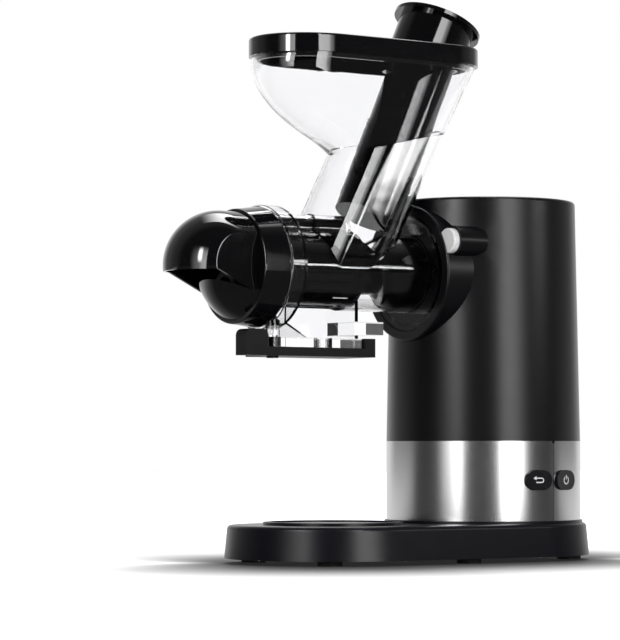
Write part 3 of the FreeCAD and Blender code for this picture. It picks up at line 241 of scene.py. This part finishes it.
MATERIALS = {
    "black_housing": lambda: satin_abs("satin_black_abs", "#08070a", "#0a090c", 1.43),
    "base_plastic": lambda: satin_abs("satin_base_abs", "#09090f", "#0c0c13", 1.4),
    "steel": brushed_stainless,
    "clear_plastic": clear_polycarbonate,
    "gloss_black": polished_abs,
    "matte_black": lambda: moulded_plastic("matt_black_abs", "#060607", "#09090a", 0.4, 0.5, 0.012, ior=1.35),
    "button_grey": lambda: moulded_plastic("light_grey_abs", "#c9c9c8", "#cfcfce", 0.35, 0.6, 0.008),
    "black_button": lambda: moulded_plastic("button_black_abs", "#0e0e12", "#131317", 0.25, 0.6, 0.006),
    "rubber": lambda: moulded_plastic("black_rubber", "#101010", "#1a1a1a", 0.7, 0.4, 0.03),
    "silicone": lambda: moulded_plastic("dark_silicone", "#1d1d1f", "#232326", 0.5, 0.8, 0.015),
    "auger_plastic": lambda: moulded_plastic("filled_black_nylon", "#060607", "#09090a", 0.12, 0.8, 0.004,
                                             0.04, 1.6),
    "nylon": lambda: moulded_plastic("natural_nylon", "#d8d3c4", "#e0dccf", 0.45, 0.6, 0.012),
    "white_plastic": lambda: moulded_plastic("white_acetal", "#dcdcd8", "#e5e5e1", 0.35, 0.6, 0.008),
    "component": lambda: moulded_plastic("component_case", "#17171a", "#1e1e22", 0.35, 0.5, 0.01),
    "ferrite": lambda: moulded_plastic("sintered_ferrite", "#242426", "#303032", 0.6, 0.3, 0.03),
    "zinc_steel": lambda: plated_metal("zinc_plated_steel", "#c4c6c8", 0.25),
    "bronze": lambda: plated_metal("sintered_bronze", "#b08850", 0.4),
    "motor_steel": lambda: plated_metal("motor_can_steel", "#a9abad", 0.35),
    "strainer_steel": lambda: plated_metal("etched_strainer_steel", "#4a4a4d", 0.2),
    "board": circuit_board,
}


def dress_nodes():
    """Gives each CAD node the material of its slot."""
    made = {slot: build() for slot, build in MATERIALS.items()}
    for entry in frame["record"]["subparts"]:
        node = frame["nodes"][entry["node"]]
        node.data.materials.clear()
        node.data.materials.append(made[entry["material_slot"]])
    return made


def arc(centre, radius, start, end):
    """Points along a round stretch, from one angle to another in degrees, anticlockwise from the right."""
    count = max(6, int(abs(end - start) / 12))
    turns = [math.radians(start + (end - start) * i / count) for i in range(count + 1)]
    return [(centre[0] + radius * math.cos(t), centre[1] + radius * math.sin(t)) for t in turns]


def line_outline(points, width):
    """The outline of a line of even width through the points."""
    left, right = [], []
    for i, point in enumerate(points):
        before, after = points[max(i - 1, 0)], points[min(i + 1, len(points) - 1)]
        along = Vector((after[0] - before[0], after[1] - before[1])).normalized()
        side = Vector((-along.y, along.x)) * (width / 2)
        left.append((point[0] + side.x, point[1] + side.y))
        right.append((point[0] - side.x, point[1] - side.y))
    return left, right


def strip_faces(mesh, lows, highs):
    """Joins matching outlines of a flat line into a closed thin strip."""
    rows = []
    for left, right in zip(lows, highs):
        rows.append([mesh.verts.new(corner) for corner in (left[0], right[0], right[1], left[1])])
    for first, second in zip(rows, rows[1:]):
        for i in range(4):
            j = (i + 1) % 4
            mesh.faces.new((first[i], first[j], second[j], second[i]))
    mesh.faces.new(rows[0][::-1])
    mesh.faces.new(rows[-1])


def finished_piece(name, mesh, slot):
    """Turns a drawn mesh into a piece of the scene, with the finish of its slot."""
    data = bpy.data.meshes.new(name)
    mesh.to_mesh(data)
    mesh.free()
    data.materials.append(finishes[slot])
    piece = bpy.data.objects.new(name, data)
    bpy.context.scene.collection.objects.link(piece)
    return piece


def print_symbol(name, body, lines, arrow=None):
    """Prints a symbol on a push button: lines of points in millimetres right and up from its middle."""
    angle = BUTTON_ANGLES[body]
    outward = Vector((math.cos(angle), math.sin(angle), 0))
    rightward = Vector((-outward.y, outward.x, 0))
    middle = Vector((COLUMN_X, 0, BUTTON_HEIGHT)) + outward * BUTTON_FACE

    def spot(point, proud):
        return middle + rightward * point[0] * MM + Vector((0, 0, point[1] * MM)) + outward * proud

    mesh = bmesh.new()
    for points in lines:
        left, right = line_outline(points, PRINT_LINE / MM)
        lows = [(spot(p, -PRINT_SUNK), spot(p, PRINT_SHEET)) for p in left]
        highs = [(spot(p, -PRINT_SUNK), spot(p, PRINT_SHEET)) for p in right]
        strip_faces(mesh, lows, highs)
    if arrow:
        back = [mesh.verts.new(spot(p, -PRINT_SUNK)) for p in arrow]
        front = [mesh.verts.new(spot(p, PRINT_SHEET)) for p in arrow]
        mesh.faces.new(front)
        mesh.faces.new(back[::-1])
        for i in range(3):
            j = (i + 1) % 3
            mesh.faces.new((back[i], back[j], front[j], front[i]))
    bmesh.ops.recalc_face_normals(mesh, faces=mesh.faces)
    symbol = finished_piece(name, mesh, "button_grey")
    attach(symbol, body)


def print_symbols():
    """A return arrow on the reverse button and a power sign on the other."""
    hook = arc((2.0, 0.0), 1.5, 90, -90)
    print_symbol("reverse_symbol", "reverse", [[(-2.6, 1.5)] + hook + [(-2.6, -1.5)]],
                 [(-5.0, 1.5), (-2.4, 0.0), (-2.4, 3.0)])
    print_symbol("power_symbol", "on_off", [arc((0.0, 0.0), 2.7, 125, 415), [(0.0, 0.5), (0.0, 3.6)]])


def pusher_collar():
    """The pusher's collar: a slanted tube whose foot is cut level, so that it rests flat on the lid."""
    axis = Vector((math.sin(PUSHER_LEAN), 0, math.cos(PUSHER_LEAN)))
    across = Vector((math.cos(PUSHER_LEAN), 0, -math.sin(PUSHER_LEAN)))
    along = (COLLAR_TOP - PUSHER_FOOT.z) / axis.z
    mesh = bmesh.new()
    rows = []
    for step in range(COLLAR_SIDES):
        turn = 2 * math.pi * step / COLLAR_SIDES
        row = []
        for radius in (COLLAR_OUTER, COLLAR_INNER):
            side = across * (radius * math.cos(turn)) + Vector((0, radius * math.sin(turn), 0))
            top = PUSHER_FOOT + axis * along + side
            foot = PUSHER_FOOT + side
            foot = foot + axis * ((COLLAR_FOOT - foot.z) / axis.z)
            row += [mesh.verts.new(foot), mesh.verts.new(top)]
        rows.append([row[0], row[1], row[3], row[2]])
    for number, row in enumerate(rows):
        following = rows[(number + 1) % COLLAR_SIDES]
        for i in range(4):
            j = (i + 1) % 4
            face = mesh.faces.new((row[i], row[j], following[j], following[i]))
            face.smooth = i in (0, 2)
    bmesh.ops.recalc_face_normals(mesh, faces=mesh.faces)
    for edge in mesh.edges:
        edge.smooth = all(face.smooth for face in edge.link_faces)
    collar = finished_piece("pusher_collar", mesh, "gloss_black")
    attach(collar, "pusher")


def camera_axes():
    """The directions that point right and away in the photograph, level with the ground."""
    right = Vector((math.cos(VIEW_YAW), -math.sin(VIEW_YAW), 0))
    away = Vector((math.sin(VIEW_YAW), math.cos(VIEW_YAW), 0))
    return right, away


def add_camera():
    """A long lens at the photograph's place; it tilts up a little, so the horizon lies below the middle."""
    right, away = camera_axes()
    data = bpy.data.cameras.new("camera")
    data.sensor_fit = "AUTO"
    data.sensor_width = SENSOR_MM
    data.lens = FOCAL_PIXELS * SENSOR_MM / max(IMAGE_WIDTH, IMAGE_HEIGHT)
    camera = bpy.data.objects.new("camera", data)
    distance = FOCAL_PIXELS * PIXEL_SIZE
    sideways = (COLUMN_PIXEL - IMAGE_WIDTH / 2) * PIXEL_SIZE
    spot = Vector((COLUMN_X, 0, HORIZON_HEIGHT)) - away * distance - right * sideways
    tilt = math.atan((HORIZON_ROW - IMAGE_HEIGHT / 2) / FOCAL_PIXELS)
    look = away * math.cos(tilt) + Vector((0, 0, math.sin(tilt)))
    camera.matrix_world = Matrix.Translation(spot) @ look.to_track_quat("-Z", "Y").to_matrix().to_4x4()
    data.clip_end = FARTHEST_SEEN
    bpy.context.scene.collection.objects.link(camera)
    bpy.context.scene.camera = camera


def ramp(tree, value, stops):
    """A smooth scale of grey levels over a value, from (place, level) pairs."""
    node = add_node(tree, "ShaderNodeValToRGB", {"Fac": value})
    points = node.color_ramp.elements
    while len(points) < len(stops):
        points.new(0.5)
    for point, (spot, level) in zip(points, stops):
        point.position = spot
        point.color = (level, level, level, 1.0)
    node.color_ramp.interpolation = "EASE"
    return node.outputs["Color"]


def softbox(name, azimuth, elevation, distance, width, tall, radiance, across=None, up=None):
    """A soft panel lamp facing the juicer, placed by its bearing from the camera's side and its elevation.

    across and up say how its glow changes from its left to its right and from its foot to its top.
    """
    right, away = camera_axes()
    data = bpy.data.lights.new(name, "AREA")
    data.shape = "RECTANGLE"
    data.size = width
    data.size_y = tall
    data.energy = radiance * math.pi * width * tall
    if across or up:
        data.use_nodes = True
        tree = data.node_tree
        tree.nodes.clear()
        output = add_node(tree, "ShaderNodeOutputLight")
        spot = add_node(tree, "ShaderNodeNewGeometry")
        parts = add_node(tree, "ShaderNodeSeparateXYZ", {"Vector": spot.outputs["Parametric"]})
        sideways = ramp(tree, parts.outputs["X"], across or [(0.0, 1.0), (1.0, 1.0)])
        upwards = ramp(tree, parts.outputs["Y"], up or [(0.0, 1.0), (1.0, 1.0)])
        glow = add_node(tree, "ShaderNodeMath", {0: sideways, 1: upwards}, operation="MULTIPLY")
        light = add_node(tree, "ShaderNodeEmission", {"Strength": glow.outputs[0]})
        tree.links.new(light.outputs["Emission"], output.inputs["Surface"])
    lamp = bpy.data.objects.new(name, data)
    turn, rise = math.radians(azimuth), math.radians(elevation)
    level = right * math.sin(turn) - away * math.cos(turn)
    offset = level * math.cos(rise) + Vector((0, 0, math.sin(rise)))
    spot = LIGHT_AIM + offset * distance
    lamp.matrix_world = Matrix.Translation(spot) @ offset.to_track_quat("Z", "Y").to_matrix().to_4x4()
    bpy.context.scene.collection.objects.link(lamp)


def add_lights():
    """The studio's panels; the right and left ones are bright at their inner sides and fade outwards."""
    softbox("right_softbox", azimuth=37.0, elevation=8.0, distance=1.3, width=0.76, tall=1.5, radiance=6.0,
            across=[(0.0, 1.0), (0.55, 0.9), (0.8, 0.3), (1.0, 0.05)])
    softbox("left_softbox", azimuth=-42.0, elevation=12.0, distance=1.3, width=0.8, tall=1.1, radiance=4.5,
            across=[(0.0, 0.0), (0.5, 0.3), (0.8, 0.9), (1.0, 1.0)],
            up=[(0.0, 0.9), (0.35, 1.0), (0.6, 0.8), (1.0, 0.0)])
    softbox("left_core", azimuth=-38.0, elevation=17.0, distance=1.2, width=0.24, tall=0.66, radiance=22.0,
            across=[(0.0, 0.0), (0.5, 1.0), (1.0, 0.0)],
            up=[(0.0, 0.0), (0.4, 1.0), (0.6, 1.0), (1.0, 0.0)])
    softbox("tube_strip", azimuth=72.0, elevation=9.0, distance=1.3, width=0.4, tall=0.14, radiance=8.0,
            up=[(0.0, 0.0), (0.4, 1.0), (0.6, 1.0), (1.0, 0.0)])
    softbox("top_softbox", azimuth=171.0, elevation=66.0, distance=1.25, width=1.3, tall=0.85, radiance=7.5,
            across=[(0.0, 0.0), (0.5, 1.0), (1.0, 0.0)])


def add_world():
    """White to the camera; in mirrors and clear parts, white behind the juicer and nearly black in front."""
    world = bpy.data.worlds.new("studio")
    bpy.context.scene.world = world
    world.use_nodes = True
    tree = world.node_tree
    tree.nodes.clear()
    away = camera_axes()[1]
    output = add_node(tree, "ShaderNodeOutputWorld")
    coordinate = add_node(tree, "ShaderNodeTexCoord")
    facing = add_node(tree, "ShaderNodeVectorMath", {0: coordinate.outputs["Generated"], 1: away},
                      operation="DOT_PRODUCT")
    facing = add_node(tree, "ShaderNodeMapRange", {"Value": facing.outputs["Value"], "From Min": -1.0})
    backdrop = ramp(tree, facing.outputs["Result"],
                    [(0.0, 0.02), (0.4, 0.03), (0.6, 0.16), (0.82, 0.3), (0.96, 0.95)])
    through = ramp(tree, facing.outputs["Result"],
                   [(0.0, 0.0), (0.5, 0.03), (0.75, 0.16), (0.93, 0.75), (0.985, 1.0)])
    through = add_node(tree, "ShaderNodeVectorMath", {0: through, "Scale": CLEAR_GAIN}, operation="SCALE")
    through = through.outputs["Vector"]
    path = add_node(tree, "ShaderNodeLightPath")
    mirrored = add_node(tree, "ShaderNodeMix", {"Factor": path.outputs["Is Glossy Ray"],
                                                "A": (STUDIO_GREY, STUDIO_GREY, STUDIO_GREY, 1.0),
                                                "B": backdrop}, data_type="RGBA")
    bent = add_node(tree, "ShaderNodeMix", {"Factor": path.outputs["Is Transmission Ray"],
                                            "A": mirrored.outputs["Result"], "B": through}, data_type="RGBA")
    level = add_node(tree, "ShaderNodeMix", {"Factor": path.outputs["Is Camera Ray"],
                                             "A": bent.outputs["Result"], "B": (1.0, 1.0, 1.0, 1.0)},
                     data_type="RGBA")
    light = add_node(tree, "ShaderNodeBackground", {"Color": level.outputs["Result"], "Strength": 1.0})
    tree.links.new(light.outputs["Background"], output.inputs["Surface"])


def add_floor():
    """A white sweep, lamp-lit near the juicer and glowing farther out, with a soft shadow painted round the
    base.
    """
    mesh = bpy.data.meshes.new("floor")
    corners = [(-FLOOR_HALF, -FLOOR_HALF, 0), (FLOOR_HALF, -FLOOR_HALF, 0), (FLOOR_HALF, FLOOR_HALF, 0),
               (-FLOOR_HALF, FLOOR_HALF, 0)]
    mesh.from_pydata(corners, [], [(0, 1, 2, 3)])
    floor = bpy.data.objects.new("floor", mesh)
    bpy.context.scene.collection.objects.link(floor)
    material, tree, output = new_material("white_sweep")
    away = camera_axes()[1]
    path = add_node(tree, "ShaderNodeLightPath")
    mirrored = add_node(tree, "ShaderNodeMath", {0: path.outputs["Is Glossy Ray"],
                                                 1: path.outputs["Is Transmission Ray"]}, operation="MAXIMUM")
    coordinate = add_node(tree, "ShaderNodeTexCoord")
    reach = add_node(tree, "ShaderNodeVectorMath", {0: coordinate.outputs["Object"]}, operation="LENGTH")
    near = add_node(tree, "ShaderNodeMapRange",
                    {"Value": reach.outputs["Value"], "From Min": GLOW_START, "From Max": GLOW_END,
                     "To Min": FLOOR_GLOW, "To Max": 1.0}, interpolation_type="SMOOTHSTEP")
    parts = add_node(tree, "ShaderNodeSeparateXYZ", {"Vector": coordinate.outputs["Object"]})
    along = add_node(tree, "ShaderNodeClamp", {"Value": parts.outputs["X"], "Min": BASE_ENDS[0],
                                               "Max": BASE_ENDS[1]})
    beside = add_node(tree, "ShaderNodeMath", {0: parts.outputs["X"], 1: along.outputs["Result"]},
                      operation="SUBTRACT")
    outward = add_node(tree, "ShaderNodeCombineXYZ", {"X": beside.outputs[0], "Y": parts.outputs["Y"]})
    gap = add_node(tree, "ShaderNodeVectorMath", {0: outward.outputs["Vector"]}, operation="LENGTH")
    gap = add_node(tree, "ShaderNodeMath", {0: gap.outputs["Value"], 1: BASE_RADIUS}, operation="SUBTRACT")
    heading = add_node(tree, "ShaderNodeVectorMath", {0: outward.outputs["Vector"]}, operation="NORMALIZE")
    heading = add_node(tree, "ShaderNodeVectorMath", {0: heading.outputs["Vector"], 1: away},
                       operation="DOT_PRODUCT")
    heading = add_node(tree, "ShaderNodeMath", {0: heading.outputs["Value"]}, operation="ABSOLUTE")
    extent = add_node(tree, "ShaderNodeMapRange", {"Value": heading.outputs[0], "To Min": SHADOW_SIDE,
                                                   "To Max": SHADOW_FRONT})
    # Painted shadow: the floor's colour and its glow darken towards the base's edge, by distance from it
    shade = add_node(tree, "ShaderNodeMath", {0: gap.outputs[0], 1: extent.outputs["Result"]},
                     operation="DIVIDE")
    shade = add_node(tree, "ShaderNodeMapRange", {"Value": shade.outputs[0], "To Min": SHADOW_DEPTH},
                     interpolation_type="SMOOTHSTEP")
    colour = add_node(tree, "ShaderNodeMix", {"Factor": shade.outputs["Result"], "A": (0.0, 0.0, 0.0, 1.0),
                                              "B": to_linear("#f4f4f4")}, data_type="RGBA")
    glow = add_node(tree, "ShaderNodeMath", {0: near.outputs["Result"], 1: shade.outputs["Result"]},
                    operation="MULTIPLY")
    glow = add_node(tree, "ShaderNodeMath", {0: path.outputs["Is Camera Ray"], 1: glow.outputs[0]},
                    operation="MULTIPLY")
    lit = add_node(tree, "ShaderNodeBsdfPrincipled",
                   {"Base Color": colour.outputs["Result"], "Roughness": 0.6, "Specular IOR Level": 0.1,
                    "Emission Color": (1, 1, 1, 1), "Emission Strength": glow.outputs[0]})
    behind = add_node(tree, "ShaderNodeVectorMath", {0: coordinate.outputs["Object"], 1: away},
                      operation="DOT_PRODUCT")
    behind = add_node(tree, "ShaderNodeMapRange",
                      {"Value": behind.outputs["Value"], "From Min": 0.0, "From Max": WHITE_FROM,
                       "To Min": FLOOR_DARK, "To Max": FLOOR_WHITE})
    mirror = add_node(tree, "ShaderNodeEmission", {"Strength": behind.outputs["Result"]})
    both = add_node(tree, "ShaderNodeMixShader", {0: mirrored.outputs[0], 1: lit.outputs["BSDF"],
                                                  2: mirror.outputs["Emission"]})
    tree.links.new(both.outputs["Shader"], output.inputs["Surface"])
    mesh.materials.append(material)


bpy.context.scene.view_settings.view_transform = "Standard"
add_camera()
add_world()
add_floor()
add_lights()
finishes = dress_nodes()
print_symbols()
pusher_collar()
